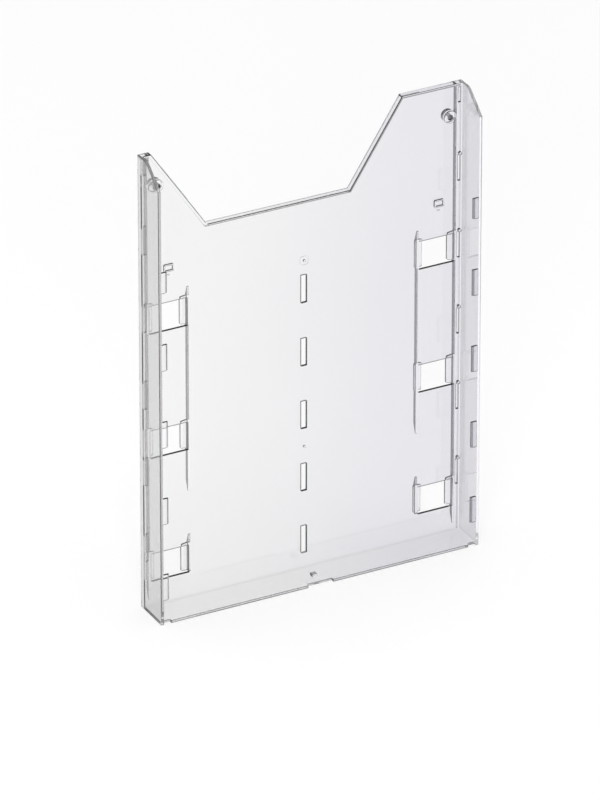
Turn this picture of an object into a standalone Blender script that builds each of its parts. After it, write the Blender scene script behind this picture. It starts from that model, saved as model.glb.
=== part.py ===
"""Clear wall-hung magazine rack module: one open A4 tray with a notched back panel.

Metres, +Z up, +Y towards the wall behind the rack. The origin is the middle of the
underside. The panel's three fields, the side walls, the floor, the ribs behind the
panel, the hooks, the catch tabs and the small studs are separate solids that stand a
hairline apart.
"""

import math

import bpy

MM = 0.001

# Overall sizes
WIDTH = 230.0 * MM
HEIGHT = 323.0 * MM
POCKET_DEPTH = 23.5 * MM        # from the panel's front face to the open front
BACK_DEPTH = 5.0 * MM           # from the panel's front face to the wall behind
GAP = 0.3 * MM                  # hairline between touching pieces

# Sheet thicknesses
PANEL_THICK = 2.0 * MM
WALL_THICK = 2.0 * MM
FLOOR_THICK = 2.0 * MM

# Notch in the panel's top edge
NOTCH_DROP = 57.5 * MM
NOTCH_LEFT_LOBE = 7.7 * MM      # flat stretch of the top edge on the left
NOTCH_LEFT_RUN = 38.8 * MM
NOTCH_RIGHT_LOBE = 45.0 * MM
NOTCH_RIGHT_RUN = 37.0 * MM
RIM_HEIGHT = 2.0 * MM

# Front top corner of the side walls
WALL_FLAT = 11.0 * MM           # level stretch of a wall's top edge
WALL_DROP = 14.0 * MM           # how far its front edge starts below the top
WALL_EASE = 2.0 * MM            # small flat at each end of the sloping edge

# Windows with a hook at each side, in a column by each wall
WINDOW_ROWS = 3
WINDOW_WIDTH = 25.2 * MM
WINDOW_HEIGHT = 20.0 * MM
WINDOW_SIDE_MARGIN = 4.7 * MM   # from the wall's inner face
WINDOW_LOW_MARGIN = 19.0 * MM
WINDOW_TOP_MARGIN = 106.0 * MM
HOOK_WIDTH = 5.7 * MM
HOOK_THICK = 1.4 * MM
HOOK_REACH = 3.6 * MM           # how far a hook stands over its window
HOOK_CORNER = 0.9 * MM

# Ribs behind the panel, beside the windows
RAIL_THICK = 1.4 * MM
RAIL_SPIKE = 7.0 * MM           # length of a rib's tapered end
RAIL_TAIL = 30.0 * MM           # how far the upper inner rib runs below the second row
RAIL_FOOT = 6.0 * MM            # lowest point of the outer rib
RAIL_TIP = 0.4 * MM             # height left at the end of a taper

# Narrow slots between the outer rib and the wall
SIDE_SLOTS = 5
SIDE_SLOT_WIDTH = 1.9 * MM
SIDE_SLOT_HEIGHT = 18.3 * MM
SIDE_SLOT_LOW_MARGIN = 34.5 * MM
SIDE_SLOT_TOP_MARGIN = 50.6 * MM
TOP_SLOT_HEIGHT = 10.7 * MM
TOP_SLOT_MARGIN = 2.6 * MM
STUD_RADIUS = 1.2 * MM
STUD_HEIGHT = 1.5 * MM
STUD_CLEARANCE = 0.5 * MM

# Slots down the middle of the panel
CENTRE_SLOTS = 5
CENTRE_SLOT_WIDTH = 3.9 * MM
CENTRE_SLOT_HEIGHT = 19.6 * MM
CENTRE_SLOT_LOW_MARGIN = 12.3 * MM
CENTRE_SLOT_TOP_MARGIN = 109.9 * MM
PIP_RADIUS = 0.9 * MM
PIP_HEIGHT = 0.6 * MM
PIP_RISE = 10.5 * MM            # upper pip above the top slot

# Catch tabs on the walls' front edges
CATCHES = 5
CATCH_WIDTH = 3.9 * MM
CATCH_THICK = 1.6 * MM
CATCH_CHAMFER = 1.4 * MM        # across the tab, on its free front edge
CATCH_CHAMFER_DEPTH = 0.7 * MM
CATCH_HEIGHT = 18.5 * MM
TOP_CATCH_HEIGHT = 14.5 * MM
CATCH_LOW_MARGIN = 17.5 * MM
CATCH_TOP_MARGIN = 71.0 * MM

# Screw bosses near the top corners
BOSS_RADIUS = 4.3 * MM
BOSS_BORE = 1.9 * MM
BOSS_DROP = 22.0 * MM
BOSS_PROUD = 1.0 * MM

# Small raised frames below the bosses
FRAME_WIDTH = 7.0 * MM
FRAME_HEIGHT = 5.2 * MM
FRAME_WALL = 0.9 * MM
FRAME_PROUD = 1.0 * MM
FRAME_DROP = 81.2 * MM
FRAME_INSET = 18.6 * MM

# Front edge of the floor
LIP_DEPTH = 2.0 * MM
LIP_CORNER_GAP = 5.5 * MM       # from the wall's inner face to the lip's end
LIP_CENTRE_GAP = 18.0 * MM
LATCH_SIZE = 3.6 * MM
LATCH_HEIGHT = 1.5 * MM
LATCH_SETBACK = 6.0 * MM        # from the floor's front edge

ARC_STEPS = 5
BOSS_STEPS = 32
STUD_STEPS = 16

# Derived planes
HALF_WIDTH = WIDTH / 2
DEPTH = POCKET_DEPTH + BACK_DEPTH
BACK_Y = DEPTH / 2
FRONT_Y = -DEPTH / 2
PANEL_FRONT_Y = BACK_Y - BACK_DEPTH
PANEL_BACK_Y = PANEL_FRONT_Y + PANEL_THICK
WALL_INNER_X = HALF_WIDTH - WALL_THICK
PANEL_EDGE_X = WALL_INNER_X - GAP
WINDOW_OUTER_X = WALL_INNER_X - WINDOW_SIDE_MARGIN
WINDOW_INNER_X = WINDOW_OUTER_X - WINDOW_WIDTH
RIB_Y = PANEL_BACK_Y + GAP
HOOK_Y = BACK_Y - HOOK_THICK
NOTCH_Z = HEIGHT - NOTCH_DROP


def clear_scene():
    for item in list(bpy.data.objects):
        bpy.data.objects.remove(item, do_unlink=True)


def make_collection(name):
    collection = bpy.data.collections.new(name)
    bpy.context.scene.collection.children.link(collection)
    return collection


def make_plastic(name, colour, roughness):
    material = bpy.data.materials.new(name)
    material.use_nodes = True
    shader = material.node_tree.nodes["Principled BSDF"]
    shader.inputs["Base Color"].default_value = (*colour, 1.0)
    shader.inputs["Roughness"].default_value = roughness
    shader.inputs["Metallic"].default_value = 0.0
    shader.inputs["IOR"].default_value = 1.59
    shader.inputs["Transmission Weight"].default_value = 0.9
    material.diffuse_color = (*colour, 0.5)
    return material


def rows(low, top, size, count):
    """Lower ends of evenly spaced features of one size between two margins."""
    pitch = (HEIGHT - low - top - size) / (count - 1)
    return [low + pitch * index for index in range(count)]


def rectangle(x1, y1, x2, y2):
    return [(x1, y1), (x2, y1), (x2, y2), (x1, y2)]


def rounded(x1, y1, x2, y2, radius):
    """A rectangle with quarter-round corners."""
    centres = [
        (x2 - radius, y1 + radius, -90.0),
        (x2 - radius, y2 - radius, 0.0),
        (x1 + radius, y2 - radius, 90.0),
        (x1 + radius, y1 + radius, 180.0),
    ]
    points = []
    for cx, cy, start in centres:
        for step in range(ARC_STEPS):
            angle = math.radians(start + 90.0 * step / (ARC_STEPS - 1))
            points.append((cx + radius * math.cos(angle), cy + radius * math.sin(angle)))
    return points


def circle(cx, cy, radius, steps):
    points = []
    for step in range(steps):
        angle = 2 * math.pi * step / steps
        points.append((cx + radius * math.cos(angle), cy + radius * math.sin(angle)))
    return points


def mirrored(outline, side):
    """An outline drawn for the right (+X) side, turned over when side is -1."""
    if side > 0:
        return outline
    return [(-x, y) for x, y in reversed(outline)]


def offset_path(path, distance):
    """A path moved sideways, to its right, with mitred corners."""
    moved = []
    for index, (x, y) in enumerate(path):
        normals = []
        for start, end in ((index - 1, index), (index, index + 1)):
            if start < 0 or end >= len(path):
                continue
            dx = path[end][0] - path[start][0]
            dy = path[end][1] - path[start][1]
            length = math.hypot(dx, dy)
            normals.append((dy / length, -dx / length))
        nx = sum(normal[0] for normal in normals)
        ny = sum(normal[1] for normal in normals)
        scale = distance * len(normals) / (nx * nx + ny * ny)
        moved.append((x + nx * scale, y + ny * scale))
    return moved


class Builder:
    """Makes the rack's flat pieces, each an extruded outline with optional holes."""

    TURNS = {
        "xz": (math.radians(90), 0.0, 0.0),
        "yz": (math.radians(90), 0.0, math.radians(90)),
        "xy": (0.0, 0.0, 0.0),
    }

    def __init__(self, collection):
        self.collection = collection

    def plate(self, name, plane, outline, start, end, material, holes=()):
        """Extrudes an outline drawn in a plane from start to end along its normal."""
        curve = bpy.data.curves.new(name, "CURVE")
        curve.dimensions = "2D"
        curve.fill_mode = "BOTH"
        curve.extrude = (end - start) / 2
        for points in (outline, *holes):
            spline = curve.splines.new("POLY")
            spline.points.add(len(points) - 1)
            for point, (u, v) in zip(spline.points, points):
                point.co = (u, v, 0.0, 1.0)
            spline.use_cyclic_u = True
        curve.materials.append(material)
        piece = bpy.data.objects.new(name, curve)
        piece.rotation_euler = self.TURNS[plane]
        middle = (start + end) / 2
        piece.location = {
            "xz": (0.0, middle, 0.0),
            "yz": (middle, 0.0, 0.0),
            "xy": (0.0, 0.0, middle),
        }[plane]
        self.collection.objects.link(piece)
        return piece


def side_name(side):
    return "right" if side > 0 else "left"


def across(side, inner, outer):
    """The lower and upper X of a stretch given by its distances from the middle."""
    return (inner, outer) if side > 0 else (-outer, -inner)


def window_rows():
    return rows(WINDOW_LOW_MARGIN, WINDOW_TOP_MARGIN, WINDOW_HEIGHT, WINDOW_ROWS)


def side_slot_rows():
    return rows(SIDE_SLOT_LOW_MARGIN, SIDE_SLOT_TOP_MARGIN, SIDE_SLOT_HEIGHT, SIDE_SLOTS)


def centre_slot_rows():
    return rows(CENTRE_SLOT_LOW_MARGIN, CENTRE_SLOT_TOP_MARGIN, CENTRE_SLOT_HEIGHT, CENTRE_SLOTS)


def catch_rows():
    return rows(CATCH_LOW_MARGIN, CATCH_TOP_MARGIN, TOP_CATCH_HEIGHT, CATCHES)


def notch_path():
    """The panel's top edge from left to right."""
    left = -HALF_WIDTH + NOTCH_LEFT_LOBE
    right = HALF_WIDTH - NOTCH_RIGHT_LOBE
    return [
        (-PANEL_EDGE_X, HEIGHT),
        (left, HEIGHT),
        (left + NOTCH_LEFT_RUN, NOTCH_Z),
        (right - NOTCH_RIGHT_RUN, NOTCH_Z),
        (right, HEIGHT),
        (PANEL_EDGE_X, HEIGHT),
    ]


def height_on(path, x):
    """Height of a path that runs from left to right, at one X."""
    for (x1, z1), (x2, z2) in zip(path, path[1:]):
        if x1 <= x <= x2:
            return z1 + (z2 - z1) * (x - x1) / (x2 - x1)
    return path[-1][1]


def top_height(x):
    """Height of the panel's top edge at one X."""
    return height_on(notch_path(), x)


def rail_centre():
    """X of the outer rib's middle, between the window and the side slots."""
    return WINDOW_OUTER_X + GAP + RAIL_THICK / 2


def side_slot_span():
    inner = rail_centre() + RAIL_THICK / 2 + GAP
    return inner, inner + SIDE_SLOT_WIDTH


def boss_centre():
    x = rail_centre() - RAIL_THICK / 2 - GAP - BOSS_RADIUS
    return x, HEIGHT - BOSS_DROP


def build_centre_field(builder, material):
    """Middle of the back panel, with the notch and the five middle slots."""
    seam = WINDOW_INNER_X - GAP
    top = [point for point in notch_path() if -seam < point[0] < seam]
    outline = [(-seam, 0.0), (seam, 0.0), (seam, top_height(seam))]
    outline += list(reversed(top))
    outline.append((-seam, top_height(-seam)))
    half = CENTRE_SLOT_WIDTH / 2
    holes = []
    for z in centre_slot_rows():
        holes.append(rectangle(-half, z, half, z + CENTRE_SLOT_HEIGHT))
    builder.plate("panel_centre", "xz", outline, PANEL_FRONT_Y, PANEL_BACK_Y, material, holes)


def build_side_field(builder, side, material):
    """Side of the back panel: its windows open towards the middle field."""
    low, high = (WINDOW_INNER_X, PANEL_EDGE_X)
    outline = [(low, 0.0), (high, 0.0), (high, HEIGHT)]
    edge = [point for point in notch_path() if low < side * point[0] < high]
    edge.sort(key=lambda point: -side * point[0])
    outline += [(side * x, z) for x, z in edge]
    outline.append((low, top_height(side * low)))
    for z in reversed(window_rows()):
        outline.append((low, z + WINDOW_HEIGHT))
        outline.append((WINDOW_OUTER_X, z + WINDOW_HEIGHT))
        outline.append((WINDOW_OUTER_X, z))
        outline.append((low, z))
    slot_inner, slot_outer = side_slot_span()
    holes = []
    for z in side_slot_rows():
        holes.append(rectangle(slot_inner, z, slot_outer, z + SIDE_SLOT_HEIGHT))
    top_slot = HEIGHT - TOP_SLOT_MARGIN - TOP_SLOT_HEIGHT
    holes.append(rectangle(slot_inner, top_slot, slot_outer, top_slot + TOP_SLOT_HEIGHT))
    x, z = boss_centre()
    holes.append(circle(x, z, BOSS_RADIUS + GAP, BOSS_STEPS))
    holes = [mirrored(hole, side) for hole in holes]
    name = "panel_" + side_name(side)
    shape = mirrored(outline, side)
    builder.plate(name, "xz", shape, PANEL_FRONT_Y, PANEL_BACK_Y, material, holes)


def build_rim(builder, material):
    """Stiffening flange behind the panel's top edge."""
    path = notch_path()
    outline = path + list(reversed(offset_path(path, RIM_HEIGHT)))
    builder.plate("notch_rim", "xz", outline, RIB_Y, BACK_Y, material)


def build_wall(builder, side, material):
    """Side wall with its sloping front top corner."""
    slope_y = BACK_Y - WALL_FLAT
    outline = [
        (FRONT_Y, 0.0),
        (BACK_Y, 0.0),
        (BACK_Y, HEIGHT),
        (slope_y, HEIGHT),
        (slope_y - WALL_EASE, HEIGHT - WALL_EASE / 2),
        (FRONT_Y + WALL_EASE, HEIGHT - WALL_DROP + WALL_EASE),
        (FRONT_Y, HEIGHT - WALL_DROP),
    ]
    x1, x2 = across(side, WALL_INNER_X, HALF_WIDTH)
    builder.plate(side_name(side) + "_wall", "yz", outline, x1, x2, material)


def build_floor(builder, material, rib_material):
    """Floor with the two lips along its front edge and the small latch behind their gap."""
    front = FRONT_Y + LIP_DEPTH + GAP
    outline = rectangle(-PANEL_EDGE_X, front, PANEL_EDGE_X, PANEL_FRONT_Y - GAP)
    builder.plate("floor_plate", "xy", outline, 0.0, FLOOR_THICK, material)
    for side in (-1, 1):
        x1, x2 = across(side, LIP_CENTRE_GAP / 2, WALL_INNER_X - LIP_CORNER_GAP)
        lip = rectangle(x1, FRONT_Y, x2, FRONT_Y + LIP_DEPTH)
        builder.plate(side_name(side) + "_floor_lip", "xy", lip, 0.0, FLOOR_THICK, rib_material)
    half = LATCH_SIZE / 2
    y = front + LATCH_SETBACK
    latch = rectangle(-half, y, half, y + LATCH_SIZE)
    low = FLOOR_THICK + GAP
    builder.plate("floor_latch", "xy", latch, low, low + LATCH_HEIGHT, rib_material)


def rail_outline(low, high, crossings, low_spike, high_spike):
    """Side view of a rib: full height, lower where a hook crosses it, tapered ends."""
    tip = RIB_Y + RAIL_TIP
    saddle = HOOK_Y - GAP
    outline = [(RIB_Y, high), (RIB_Y, low)]
    outline.append((tip, low) if low_spike else (BACK_Y, low))
    if low_spike:
        outline.append((BACK_Y, low + RAIL_SPIKE))
    for start, end in crossings:
        outline.append((BACK_Y, start - GAP))
        outline.append((saddle, start - GAP))
        outline.append((saddle, end + GAP))
        outline.append((BACK_Y, end + GAP))
    if high_spike:
        outline.append((BACK_Y, high - RAIL_SPIKE))
    outline.append((tip, high) if high_spike else (BACK_Y, high))
    return outline


def build_rails(builder, side, material):
    """Outer rib and the two inner ribs of one column of windows."""
    crossings = [(z, z + WINDOW_HEIGHT) for z in window_rows()]
    prefix = side_name(side)
    middle = rail_centre()
    half = RAIL_THICK / 2
    below_rim = offset_path(notch_path(), RIM_HEIGHT + GAP)
    top = height_on(below_rim, side * (middle - half))
    x1, x2 = across(side, middle - half, middle + half)
    outline = rail_outline(RAIL_FOOT, top, crossings, True, False)
    builder.plate(prefix + "_outer_rail", "yz", outline, x1, x2, material)
    inner = WINDOW_INNER_X - GAP - half
    x1, x2 = across(side, inner - half, inner + half)
    low = crossings[1][0] - RAIL_TAIL
    high = crossings[-1][1] + GAP + RAIL_SPIKE
    outline = rail_outline(low, high, crossings[1:], True, True)
    builder.plate(prefix + "_inner_rail_upper", "yz", outline, x1, x2, material)
    high = crossings[0][1] + GAP + RAIL_SPIKE
    saddle = HOOK_Y - GAP
    start, end = crossings[0]
    outline = [
        (RIB_Y, high),
        (RIB_Y, start),
        (saddle, start),
        (saddle, end + GAP),
        (BACK_Y, end + GAP),
        (RIB_Y + RAIL_TIP, high),
    ]
    builder.plate(prefix + "_inner_rail_lower", "yz", outline, x1, x2, material)


def build_hooks(builder, side, material):
    """Flat hooks that reach over both sides of every window, behind the panel."""
    spans = {
        "inner": (WINDOW_INNER_X + HOOK_REACH - HOOK_WIDTH, WINDOW_INNER_X + HOOK_REACH),
        "outer": (WINDOW_OUTER_X - HOOK_REACH, WINDOW_OUTER_X - HOOK_REACH + HOOK_WIDTH),
    }
    for label, (near, far) in spans.items():
        x1, x2 = across(side, near, far)
        for index, z in enumerate(window_rows(), start=1):
            name = f"{side_name(side)}_{label}_hook_{index}"
            outline = rounded(x1, z, x2, z + WINDOW_HEIGHT, HOOK_CORNER)
            builder.plate(name, "xz", outline, HOOK_Y, BACK_Y, material)


def build_catches(builder, side, material):
    """Tabs that stand inwards from a wall's front edge, each with a chamfered free edge."""
    root = WALL_INNER_X - GAP
    free = root - CATCH_WIDTH
    outline = [
        (root, FRONT_Y),
        (root, FRONT_Y + CATCH_THICK),
        (free, FRONT_Y + CATCH_THICK),
        (free, FRONT_Y + CATCH_CHAMFER_DEPTH),
        (free + CATCH_CHAMFER, FRONT_Y),
    ]
    levels = catch_rows()
    for index, z in enumerate(levels, start=1):
        height = TOP_CATCH_HEIGHT if index == len(levels) else CATCH_HEIGHT
        name = f"{side_name(side)}_catch_{index}"
        builder.plate(name, "xy", mirrored(outline, side), z, z + height, material)


def build_studs(builder, side, material):
    """Round studs on the panel's front, above each side slot."""
    inner, outer = side_slot_span()
    x = side * (inner + outer) / 2
    back = PANEL_FRONT_Y - GAP
    for index, z in enumerate(side_slot_rows(), start=1):
        height = z + SIDE_SLOT_HEIGHT + STUD_CLEARANCE + STUD_RADIUS
        outline = circle(x, height, STUD_RADIUS, STUD_STEPS)
        name = f"{side_name(side)}_stud_{index}"
        builder.plate(name, "xz", outline, back - STUD_HEIGHT, back, material)


def build_boss(builder, side, material):
    """Screw boss that passes through the panel and reaches back to the wall."""
    x, z = boss_centre()
    outer = circle(side * x, z, BOSS_RADIUS, BOSS_STEPS)
    bore = circle(side * x, z, BOSS_BORE, BOSS_STEPS)
    front = PANEL_FRONT_Y - BOSS_PROUD
    builder.plate(side_name(side) + "_screw_boss", "xz", outer, front, BACK_Y, material, [bore])


def build_frame(builder, side, material):
    """Small raised rectangle on the panel's front."""
    centre = side * (HALF_WIDTH - FRAME_INSET)
    z = HEIGHT - FRAME_DROP
    half_width = FRAME_WIDTH / 2
    half_height = FRAME_HEIGHT / 2
    outer = rounded(
        centre - half_width, z - half_height, centre + half_width, z + half_height, FRAME_WALL
    )
    opening = rectangle(
        centre - half_width + FRAME_WALL,
        z - half_height + FRAME_WALL,
        centre + half_width - FRAME_WALL,
        z + half_height - FRAME_WALL,
    )
    back = PANEL_FRONT_Y - GAP
    name = side_name(side) + "_marker_frame"
    builder.plate(name, "xz", outer, back - FRAME_PROUD, back, material, [opening])


def build_pips(builder, material):
    """Two round pips on the middle line, above the top slot and between two others."""
    levels = centre_slot_rows()
    pitch = levels[1] - levels[0]
    heights = {
        "upper_pip": levels[-1] + CENTRE_SLOT_HEIGHT + PIP_RISE,
        "lower_pip": levels[1] + (CENTRE_SLOT_HEIGHT + pitch) / 2,
    }
    back = PANEL_FRONT_Y - GAP
    for name, z in heights.items():
        outline = circle(0.0, z, PIP_RADIUS, STUD_STEPS)
        builder.plate(name, "xz", outline, back - PIP_HEIGHT, back, material)


def main():
    clear_scene()
    builder = Builder(make_collection("MagazineRack"))
    sheet = make_plastic("clear_sheet", (0.90, 0.90, 0.92), 0.05)
    rib = make_plastic("clear_rib", (0.86, 0.86, 0.88), 0.08)
    catch = make_plastic("clear_catch", (0.88, 0.88, 0.90), 0.06)
    build_centre_field(builder, sheet)
    build_floor(builder, sheet, rib)
    build_rim(builder, rib)
    build_pips(builder, catch)
    for side in (-1, 1):
        build_side_field(builder, side, sheet)
        build_wall(builder, side, sheet)
        build_rails(builder, side, rib)
        build_hooks(builder, side, rib)
        build_catches(builder, side, catch)
        build_studs(builder, side, catch)
        build_boss(builder, side, rib)
        build_frame(builder, side, catch)
    bpy.context.view_layer.update()


main()
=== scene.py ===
import bpy
import bmesh
import math
from mathutils import Matrix, Vector
from mathutils.bvhtree import BVHTree


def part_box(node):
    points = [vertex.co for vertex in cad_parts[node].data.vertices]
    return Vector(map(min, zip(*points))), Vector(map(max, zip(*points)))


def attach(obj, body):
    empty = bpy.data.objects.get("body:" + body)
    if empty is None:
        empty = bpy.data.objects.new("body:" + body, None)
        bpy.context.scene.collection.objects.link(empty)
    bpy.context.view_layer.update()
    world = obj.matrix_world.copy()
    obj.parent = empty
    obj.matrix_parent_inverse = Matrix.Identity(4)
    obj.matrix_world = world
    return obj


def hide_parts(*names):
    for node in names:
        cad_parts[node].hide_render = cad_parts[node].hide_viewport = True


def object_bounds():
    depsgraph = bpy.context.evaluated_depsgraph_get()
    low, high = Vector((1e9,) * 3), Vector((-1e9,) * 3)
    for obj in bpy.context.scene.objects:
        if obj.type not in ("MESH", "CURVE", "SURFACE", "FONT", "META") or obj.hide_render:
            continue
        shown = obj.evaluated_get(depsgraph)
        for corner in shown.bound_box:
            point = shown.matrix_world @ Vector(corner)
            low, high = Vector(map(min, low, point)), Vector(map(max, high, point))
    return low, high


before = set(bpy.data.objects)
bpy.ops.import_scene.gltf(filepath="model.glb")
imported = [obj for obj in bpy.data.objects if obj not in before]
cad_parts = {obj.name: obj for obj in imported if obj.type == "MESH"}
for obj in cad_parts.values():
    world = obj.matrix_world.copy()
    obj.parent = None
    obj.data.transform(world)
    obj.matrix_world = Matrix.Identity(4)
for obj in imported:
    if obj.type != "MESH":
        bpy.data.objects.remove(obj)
cadLow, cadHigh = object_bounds()
print("frame loaded:", len(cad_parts), "nodes")

mm = 0.001


class Sig:
    # a value inside a material: arithmetic on it adds Math nodes
    def __init__(self, tree, socket):
        self.tree = tree
        self.socket = socket

    def math(self, operation, other, swap=False):
        node = self.tree.nodes.new("ShaderNodeMath")
        node.operation = operation
        first, second = (other, self) if swap else (self, other)
        for index, value in enumerate((first, second)):
            if isinstance(value, Sig):
                self.tree.links.new(value.socket, node.inputs[index])
            else:
                node.inputs[index].default_value = value
        return Sig(self.tree, node.outputs[0])

    def __add__(self, other):
        return self.math("ADD", other)

    def __radd__(self, other):
        return self.math("ADD", other, swap=True)

    def __sub__(self, other):
        return self.math("SUBTRACT", other)

    def __rsub__(self, other):
        return self.math("SUBTRACT", other, swap=True)

    def __mul__(self, other):
        return self.math("MULTIPLY", other)

    def __rmul__(self, other):
        return self.math("MULTIPLY", other, swap=True)


class Maker:
    # a new node material with a Principled shader
    def __init__(self, name):
        self.material = bpy.data.materials.new(name)
        self.material.use_nodes = True
        self.tree = self.material.node_tree
        self.shader = self.tree.nodes["Principled BSDF"]

    def node(self, kind, settings=None, values=None, out=0):
        made = self.tree.nodes.new(kind)
        for key, value in (settings or {}).items():
            setattr(made, key, value)
        self.feed(made, values or {})
        return Sig(self.tree, made.outputs[out])

    def feed(self, node, values):
        for key, value in values.items():
            if isinstance(value, Sig):
                self.tree.links.new(value.socket, node.inputs[key])
            else:
                node.inputs[key].default_value = value

    def surface(self, **values):
        self.feed(self.shader, {key.replace("_", " "): value for key, value in values.items()})


plastic = {
    "shadedTints": {    # the plastic's faint grey, with painted shade that draws edges, roundings, fronts and walls darker
        "sheet": (0.925, 0.925, 0.93),
        "left_wall": (0.72, 0.72, 0.725),
        "right_wall": (0.82, 0.82, 0.825),
        "floor": (1.0, 1.0, 1.0),
        "clear": (0.97, 0.97, 0.975),
        "rim": (0.92, 0.92, 0.925),
        "slope": (0.92, 0.92, 0.925),
        "front": (0.52, 0.52, 0.53),
        "edge": (0.22, 0.22, 0.225),
        "rounding": (0.10, 0.10, 0.105),
    },
    "paintedGlow": {"rim": 0.03, "slope": 0.14, "front": 0.03, "floor": 0.018},    # painted glow: emission that stands in for light carried inside the sheet
    "roughness": 0.03,
    "fleckRoughness": 0.02,
    "fleckScale": 220.0,
    "fleckDetail": 3.0,
    "indexOfRefraction": 1.59,
    "clouding": 0.03,
    "cloudScale": 6.0,
    "cloudDetail": 2.0,
    "bumpStrength": 0.02,
    "bumpDistance": 1.0 * mm,
    "sideShadeStart": -80.0 * mm,     # painted shade: from here to the end below, left to right, the plastic is drawn darker and bluer
    "sideShadeEnd": 110.0 * mm,
    "sideShadeTint": (0.90, 0.89, 0.93, 1.0),
}
shadedTintNames = list(plastic["shadedTints"])


def clearPlastic():
    # clear polystyrene: faint grey with painted shade face by face, painted shade that grows darker and
    # bluer from left to right, painted glow on some faces, and a faint ripple
    made = Maker("clear_polystyrene")
    place = made.node("ShaderNodeTexCoord", out="Object")
    tone = made.node("ShaderNodeVertexColor", {"layer_name": "tone"})
    # the tone's alpha is painted glow, sent to the emission
    paintedGlow = Sig(made.tree, tone.socket.node.outputs["Alpha"])
    cloud = made.node("ShaderNodeTexNoise", values={
        "Vector": place, "Scale": plastic["cloudScale"], "Detail": plastic["cloudDetail"]})
    fleck = made.node("ShaderNodeTexNoise", values={
        "Vector": place, "Scale": plastic["fleckScale"], "Detail": plastic["fleckDetail"]})
    across = made.node("ShaderNodeSeparateXYZ", values={"Vector": place})
    # painted shade that darkens the plastic from left to right
    sideShade = made.node("ShaderNodeMapRange", {"interpolation_type": "SMOOTHSTEP"}, {
        "Value": across, "From Min": plastic["sideShadeStart"], "From Max": plastic["sideShadeEnd"],
        "To Min": 0.0, "To Max": 1.0})
    shade = 1.0 - cloud * plastic["clouding"]
    # a Mix node's colours are its inputs 6 and 7 and its output 2
    shadedTone = made.node("ShaderNodeMix", {"data_type": "RGBA", "blend_type": "MULTIPLY"},
                       {"Factor": sideShade, 6: tone, 7: plastic["sideShadeTint"]}, out=2)
    toned = made.node("ShaderNodeVectorMath", {"operation": "SCALE"},
                      {"Vector": shadedTone, "Scale": shade})
    bump = made.node("ShaderNodeBump", values={
        "Height": cloud, "Strength": plastic["bumpStrength"], "Distance": plastic["bumpDistance"]})
    made.surface(Base_Color=toned, Roughness=plastic["roughness"] + plastic["fleckRoughness"] * fleck,
                 IOR=plastic["indexOfRefraction"], Transmission_Weight=1.0, Normal=bump,
                 Emission_Color=paintedGlow, Emission_Strength=1.0)
    return made.material


moulding = {
    "joinReach": 0.5 * mm,     # pieces nearer than this belong to one moulding
    "joinOverlap": 0.08 * mm,
    "castLift": 0.01 * mm,     # a search for the next piece starts this far off the face
    "castInset": 0.1,          # share of the way from a corner or an edge to the face's middle
    "sameWay": 0.7,            # two moves whose directions agree more than this are one move
    "freeReach": 0.9 * mm,     # an edge further than this from other pieces is rounded
    "freeTests": (0.02, 0.25, 0.5, 0.75, 0.98),    # where along an edge that is tested
    "edgeAngle": math.radians(30),    # and that turns more than this
    "edgeRadius": 0.25 * mm,
    "edgeSegments": 2,
    "ribRadius": 0.5 * mm,
    "rimRadius": 0.3 * mm,
    "markRadius": 0.12 * mm,
    "longEdge": 28.0 * mm,     # a panel's side faces longer than this are its outline
    "facing": 0.7,             # a face looks along an axis when its normal has more than this of it
    "square": 0.98,            # the same for a face that looks straight along it
    "slopeRise": 0.4,          # the left wall's slanted edge looks up by more than this
    "rimRise": 0.1,            # the outline's slanted and level parts look up by more than this
    "weld": 0.001 * mm,        # a CAD node's corners nearer than this are one corner
    "joinedWeld": 0.005 * mm,  # the same for the joined solid
    "sliver": 0.02 * mm,       # edges shorter and faces thinner than this are dissolved
    "planeStep": 0.01 * mm,    # planes nearer than this are one plane
    "flatAngle": math.radians(0.5),    # faces that turn less than this are one flat
    "gentle": math.radians(15),        # an edge that turns less than this is shaded smooth
}


def nodeCopy(name):
    # a welded copy of a CAD node, with its flat faces whole again
    bm = bmesh.new()
    bm.from_mesh(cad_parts[name].data)
    bmesh.ops.remove_doubles(bm, verts=bm.verts[:], dist=moulding["weld"])
    bmesh.ops.dissolve_limit(bm, angle_limit=moulding["flatAngle"],
                             verts=bm.verts[:], edges=bm.edges[:])
    bm.normal_update()
    return bm


def planeOf(face):
    # the plane that a face lies in: the way it looks, and how far out it lies in steps
    out = face.normal.dot(face.verts[0].co) / moulding["planeStep"]
    return (*(round(part, 2) for part in face.normal), round(out))


def planeAreas(bm):
    # how much of a piece's skin lies in each plane
    areas = {}
    for face in bm.faces:
        areas[planeOf(face)] = areas.get(planeOf(face), 0.0) + face.calc_area()
    return areas


def joinedTree(pieces, without=None):
    # one search tree over all pieces but one, with the area of the flat behind each triangle
    corners, triangles, areas = [], [], []
    for name, bm in pieces.items():
        if name == without:
            continue
        bm.verts.index_update()
        start = len(corners)
        flats = planeAreas(bm)
        corners += [vert.co.copy() for vert in bm.verts]
        for loops in bm.calc_loop_triangles():
            triangles.append([start + loop.vert.index for loop in loops])
            areas.append(flats[planeOf(loops[0].face)])
    return BVHTree.FromPolygons(corners, triangles), areas


def samplePoints(face):
    # the middle of a face, and points on it near each corner and each edge
    centre = face.calc_center_median()
    yield centre
    for loop in face.loops:
        corner = loop.vert.co
        following = loop.link_loop_next.vert.co
        yield corner.lerp(centre, moulding["castInset"])
        yield corner.lerp(following, 0.5).lerp(centre, moulding["castInset"])


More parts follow.
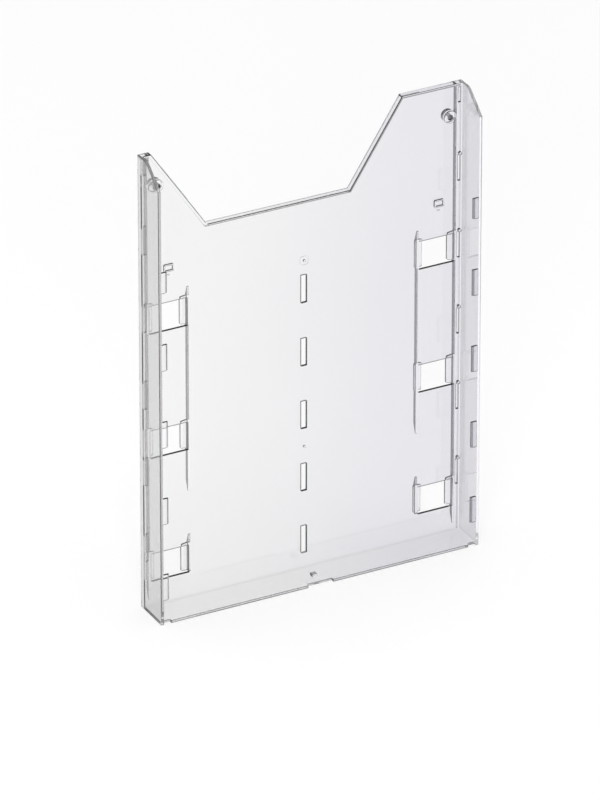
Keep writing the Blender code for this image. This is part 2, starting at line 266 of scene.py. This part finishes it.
def closeGaps(pieces):
    # moves a face that stands a hairline off a larger one just into it
    tree, areas = joinedTree(pieces)
    lift = moulding["castLift"]
    moves = {}
    for name, bm in pieces.items():
        flats = planeAreas(bm)
        for face in bm.faces:
            found = []
            for point in samplePoints(face):
                place, _, index, far = tree.ray_cast(
                    point + face.normal * lift, face.normal, moulding["joinReach"])
                if place is not None and areas[index] >= flats[planeOf(face)]:
                    found.append(far)
            if not found:
                continue
            travel = face.normal * (max(found) + lift + moulding["joinOverlap"])
            for vert in face.verts:
                moves.setdefault((name, vert.index), []).append((vert, travel))
    for entries in moves.values():
        used = []
        for vert, travel in entries:
            way = travel.normalized()
            if all(way.dot(other.normalized()) < moulding["sameWay"] for other in used):
                used.append(travel)
                vert.co += travel


def faceShadedTint(name, face):
    # which painted shade of the plastic a face takes, by its piece and the way it looks
    across, deep, high = [abs(part) for part in face.normal]
    facing = moulding["facing"]
    if name.endswith("_wall") and across > facing:
        return name
    if name.endswith("_wall"):
        return "slope" if high > moulding["slopeRise"] or name == "right_wall" else "front"
    if "floor" in name and "latch" not in name:
        return "floor" if high > facing else "front"
    if name == "notch_rim" or name.startswith("panel"):
        longest = max(edge.calc_length() for edge in face.edges)
        outline = name == "notch_rim" or longest > moulding["longEdge"]
        if deep > facing:
            return "sheet"
        return "rim" if outline and high > moulding["rimRise"] else "edge"
    if name == "pip_ring":
        return "clear"
    if name.endswith("_gate_stub"):
        return "front"
    if "catch" in name:
        return "clear" if max(deep, high) > moulding["square"] else "edge"
    return "clear" if deep > facing else "edge"


def roundingOf(name):
    # the radius of a piece's free edges, and the painted shade of that rounding
    if name.endswith("_wall"):
        return moulding["edgeRadius"], "front" if name == "left_wall" else "slope"
    if "hook" in name or "rail" in name:
        return moulding["ribRadius"], "rounding"
    if name == "notch_rim":
        return moulding["rimRadius"], "rounding"
    if "frame" in name or "pip" in name or "latch" in name:
        return moulding["markRadius"], "rounding"
    return moulding["edgeRadius"], "rounding"


def paintFaces(pieces):
    # each face keeps its painted shade's number through rounding and joining
    for name, bm in pieces.items():
        bm.normal_update()
        shadedTint = bm.faces.layers.int.new("shadedTint")
        for face in bm.faces:
            face[shadedTint] = shadedTintNames.index(faceShadedTint(name, face))


def roundEdges(pieces):
    # rounds each node's free sharp edges; an edge at a join stays as it is
    for name, bm in pieces.items():
        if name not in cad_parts:
            continue
        tree, _ = joinedTree(pieces, without=name)
        bm.normal_update()
        free = []
        for edge in bm.edges:
            if len(edge.link_faces) != 2 or edge.calc_face_angle(0.0) < moulding["edgeAngle"]:
                continue
            ends = [vert.co for vert in edge.verts]
            tests = [ends[0].lerp(ends[1], share) for share in moulding["freeTests"]]
            if all(tree.find_nearest(test, moulding["freeReach"])[0] is None for test in tests):
                free.append(edge)
        radius, roundingShade = roundingOf(name)
        made = bmesh.ops.bevel(bm, geom=free, offset=radius, offset_type="OFFSET",
                               segments=moulding["edgeSegments"], profile=0.5, affect="EDGES",
                               material=-1, clamp_overlap=True)
        # the new roundings take their painted shade
        shadedTint = bm.faces.layers.int["shadedTint"]
        for face in made["faces"]:
            face[shadedTint] = shadedTintNames.index(roundingShade)


def fixedOrder(bm):
    # the same mesh in an order set by its places, because bevel's own order changes from run to run
    placed = sorted(bm.verts, key=lambda vert: tuple(vert.co))
    ranks = {vert: rank for rank, vert in enumerate(placed)}
    shadedTint = bm.faces.layers.int["shadedTint"]
    rings = []
    for face in bm.faces:
        ring = [ranks[vert] for vert in face.verts]
        start = ring.index(min(ring))
        rings.append((ring[start:] + ring[:start], face[shadedTint]))
    made = bmesh.new()
    madeShadedTint = made.faces.layers.int.new("shadedTint")
    corners = [made.verts.new(vert.co) for vert in placed]
    for ring, value in sorted(rings):
        made.faces.new([corners[rank] for rank in ring])[madeShadedTint] = value
    bm.free()
    made.normal_update()
    return made


def meshObject(name, bm):
    # a new object at the origin, with its place in its mesh
    mesh = bpy.data.meshes.new(name)
    bm.to_mesh(mesh)
    bm.free()
    made = bpy.data.objects.new(name, mesh)
    bpy.context.scene.collection.objects.link(made)
    return made


def unite(pieces):
    # joins the overlapping pieces into one solid
    pieces = {label: fixedOrder(bm) for label, bm in pieces.items()}
    for bm in pieces.values():
        bmesh.ops.triangulate(bm, faces=bm.faces[:])
    parts = [meshObject("part_" + label, bm) for label, bm in pieces.items()]
    base, others = parts[0], parts[1:]
    operands = bpy.data.collections.new("operands")
    bpy.context.scene.collection.children.link(operands)
    for part in others:
        operands.objects.link(part)
    joiner = base.modifiers.new("join", "BOOLEAN")
    joiner.operation = "UNION"
    joiner.operand_type = "COLLECTION"
    joiner.collection = operands
    joiner.solver = "EXACT"
    bpy.context.view_layer.update()
    evaluated = base.evaluated_get(bpy.context.evaluated_depsgraph_get())
    bm = bmesh.new()
    bm.from_mesh(evaluated.to_mesh())
    evaluated.to_mesh_clear()
    for part in parts:
        bpy.data.objects.remove(part)
    bpy.data.collections.remove(operands)
    bmesh.ops.remove_doubles(bm, verts=bm.verts[:], dist=moulding["joinedWeld"])
    bmesh.ops.dissolve_degenerate(bm, dist=moulding["sliver"], edges=bm.edges[:])
    # a seam between two painted shades keeps their faces apart
    shadedTint = bm.faces.layers.int["shadedTint"]
    for edge in bm.edges:
        edge.seam = len({face[shadedTint] for face in edge.link_faces}) > 1
    bmesh.ops.dissolve_limit(bm, angle_limit=moulding["flatAngle"], delimit={"SEAM"},
                             verts=bm.verts[:], edges=bm.edges[:])
    bmesh.ops.recalc_face_normals(bm, faces=bm.faces[:])
    return fixedOrder(bm)


def toneFaces(bm):
    # "tone" carries each face's painted shade, and in its alpha the painted glow, into the material
    shadedTint = bm.faces.layers.int["shadedTint"]
    tone = bm.loops.layers.float_color.new("tone")
    for face in bm.faces:
        name = shadedTintNames[face[shadedTint]]
        for loop in face.loops:
            loop[tone] = (*plastic["shadedTints"][name], plastic["paintedGlow"].get(name, 0.0))


marks = {
    "proud": 0.25 * mm,        # how far a mark stands off the panel
    "sunk": 0.2 * mm,
    "stubWidth": 2.4 * mm,
    "stubHeight": 1.1 * mm,
    "stubSides": 32,
    "stubDrop": 2.6 * mm,      # from the marker frame's foot down to the stub's middle
    "ringWidth": 6.2 * mm,
    "ringWall": 0.3 * mm,
    "ringCorner": 1.55 * mm,
    "ringSegments": 4,
}


def setOnPanel(bm, panel, across, up):
    # puts a mark at a place on a panel's front face, with its foot sunk in
    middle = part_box(panel)[0].y + (marks["sunk"] - marks["proud"]) / 2
    bmesh.ops.translate(bm, verts=bm.verts[:], vec=(across, middle, up))


def addStub(pieces, side):
    # the small oval gate stub under a marker frame
    low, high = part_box(side + "_marker_frame")
    bm = bmesh.new()
    bmesh.ops.create_cone(bm, cap_ends=True, segments=marks["stubSides"], radius1=0.5, radius2=0.5,
                          depth=marks["proud"] + marks["sunk"])
    bmesh.ops.rotate(bm, verts=bm.verts[:], matrix=Matrix.Rotation(math.radians(90), 3, "X"))
    bmesh.ops.scale(bm, verts=bm.verts[:], vec=(marks["stubWidth"], 1.0, marks["stubHeight"]))
    setOnPanel(bm, "panel_" + side, (low.x + high.x) / 2, low.z - marks["stubDrop"])
    pieces[side + "_gate_stub"] = bm


def addPipRing(pieces):
    # the faint raised square line round the upper pip
    low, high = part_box("upper_pip")
    bm = bmesh.new()
    bmesh.ops.create_cube(bm, size=1.0)
    bmesh.ops.scale(bm, verts=bm.verts[:],
                    vec=(marks["ringWidth"], marks["proud"] + marks["sunk"], marks["ringWidth"]))
    corners = [edge for edge in bm.edges if edge.verts[0].co.y * edge.verts[1].co.y < 0.0]
    bmesh.ops.bevel(bm, geom=corners, offset=marks["ringCorner"], offset_type="OFFSET",
                    segments=marks["ringSegments"], profile=0.5, affect="EDGES", material=-1)
    caps = [face for face in bm.faces if abs(face.normal.y) > moulding["square"]]
    bmesh.ops.inset_individual(bm, faces=caps, thickness=marks["ringWall"], depth=0.0)
    bmesh.ops.bridge_loops(bm, edges=[edge for face in caps for edge in face.edges])
    bmesh.ops.delete(bm, geom=caps, context="FACES_ONLY")
    setOnPanel(bm, "panel_centre", (low.x + high.x) / 2, (low.z + high.z) / 2)
    bmesh.ops.recalc_face_normals(bm, faces=bm.faces[:])
    pieces["pip_ring"] = bm


def buildMoulding():
    # the whole rack as one clear moulding, which stands for every node
    pieces = {name: nodeCopy(name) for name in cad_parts}
    closeGaps(pieces)
    print("gaps closed:", len(pieces), "pieces")
    for side in ("left", "right"):
        addStub(pieces, side)
    addPipRing(pieces)
    paintFaces(pieces)
    roundEdges(pieces)
    print("marks added and edges rounded")
    bm = unite(pieces)
    toneFaces(bm)
    print("moulding:", len(bm.faces), "faces, open edges",
          sum(1 for edge in bm.edges if len(edge.link_faces) != 2))
    for face in bm.faces:
        face.smooth = True
    for edge in bm.edges:
        edge.smooth = edge.calc_face_angle(math.pi) < moulding["gentle"]
    piece = meshObject("rack_moulding", bm)
    piece.data.materials.append(clearPlastic())
    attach(piece, "root")
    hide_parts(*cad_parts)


studio = {
    "worldLevel": 0.35,
    "floorSize": 12.0,
    "floorDrop": 0.01 * mm,    # the floor lies this far under the rack's foot
    "floorColour": (0.24, 0.24, 0.24),
    "floorGlow": 0.71,
    "floorRoughness": 0.9,
    "mottling": 0.01,
    "mottleScale": 3.0,
    "topPower": 140.0,
    "topSize": 5.0,
    "topHeight": 3.5,
    "frontPower": 52.0,
    "frontSize": 1.1,
    "frontPlace": (-1.35, -2.3, 1.25),
}


def buildFloor():
    # a wide pale floor with a slight glow, so that it stays near white
    bm = bmesh.new()
    bmesh.ops.create_grid(bm, x_segments=1, y_segments=1, size=studio["floorSize"] / 2)
    bmesh.ops.translate(bm, verts=bm.verts[:], vec=(0.0, 0.0, -studio["floorDrop"]))
    floor = meshObject("floor", bm)
    made = Maker("floor_white")
    place = made.node("ShaderNodeTexCoord", out="Object")
    mottle = made.node("ShaderNodeTexNoise", values={"Vector": place, "Scale": studio["mottleScale"]})
    tone = made.node("ShaderNodeVectorMath", {"operation": "SCALE"},
                     {"Vector": studio["floorColour"], "Scale": 1.0 - studio["mottling"] * mottle})
    made.surface(Base_Color=tone, Roughness=studio["floorRoughness"], Specular_IOR_Level=0.0,
                 Emission_Color=(1.0, 1.0, 1.0, 1.0), Emission_Strength=studio["floorGlow"])
    floor.data.materials.append(made.material)
    print("floor laid")


def addSoftbox(name, power, size, place):
    # a square area light that faces the rack's foot
    light = bpy.data.lights.new(name, "AREA")
    light.energy = power
    light.size = size
    box = bpy.data.objects.new(name, light)
    box.location = place
    box.rotation_mode = "QUATERNION"
    box.rotation_quaternion = (-Vector(place)).to_track_quat("-Z", "Y")
    bpy.context.scene.collection.objects.link(box)
    return box


def buildLights():
    # a pale world, a large softbox overhead and a smaller one in front on the left
    world = bpy.data.worlds.new("studio")
    bpy.context.scene.world = world
    world.use_nodes = True
    background = world.node_tree.nodes["Background"]
    background.inputs["Color"].default_value = (1.0, 1.0, 1.0, 1.0)
    background.inputs["Strength"].default_value = studio["worldLevel"]
    addSoftbox("top_softbox", studio["topPower"], studio["topSize"], (0.0, 0.0, studio["topHeight"]))
    front = addSoftbox("front_softbox", studio["frontPower"], studio["frontSize"], studio["frontPlace"])
    front.data.cycles.use_multiple_importance_sampling = False   # it only shades, it has no glint
    print("lights set up")


view = {
    "azimuth": -27.60,       # degrees round from straight in front
    "elevation": 28.12,
    "distance": 6.287,
    "lens": 445.5,
    "sensor": 36.0,
    "near": 0.05,
    "far": 100.0,
    "aimRight": -0.0069,     # from the rack's middle to the view's, across and up the view
    "aimUp": -0.0297,
}


def buildCamera():
    # a long lens, high up and round to the left
    azimuth, elevation = math.radians(view["azimuth"]), math.radians(view["elevation"])
    back = Vector((math.sin(azimuth) * math.cos(elevation),
                   -math.cos(azimuth) * math.cos(elevation), math.sin(elevation)))
    turn = (-back).to_track_quat("-Z", "Y")
    right, up = turn @ Vector((1, 0, 0)), turn @ Vector((0, 1, 0))
    aim = (cadLow + cadHigh) / 2 + right * view["aimRight"] + up * view["aimUp"]
    data = bpy.data.cameras.new("camera")
    data.lens = view["lens"]
    data.sensor_width = view["sensor"]
    data.clip_start, data.clip_end = view["near"], view["far"]
    camera = bpy.data.objects.new("camera", data)
    camera.rotation_mode = "QUATERNION"
    camera.rotation_quaternion = turn
    camera.location = aim + back * view["distance"]
    bpy.context.scene.collection.objects.link(camera)
    bpy.context.scene.camera = camera
    bpy.context.scene.view_settings.view_transform = "Standard"
    print("camera placed")


buildCamera()
buildFloor()
buildLights()
buildMoulding()
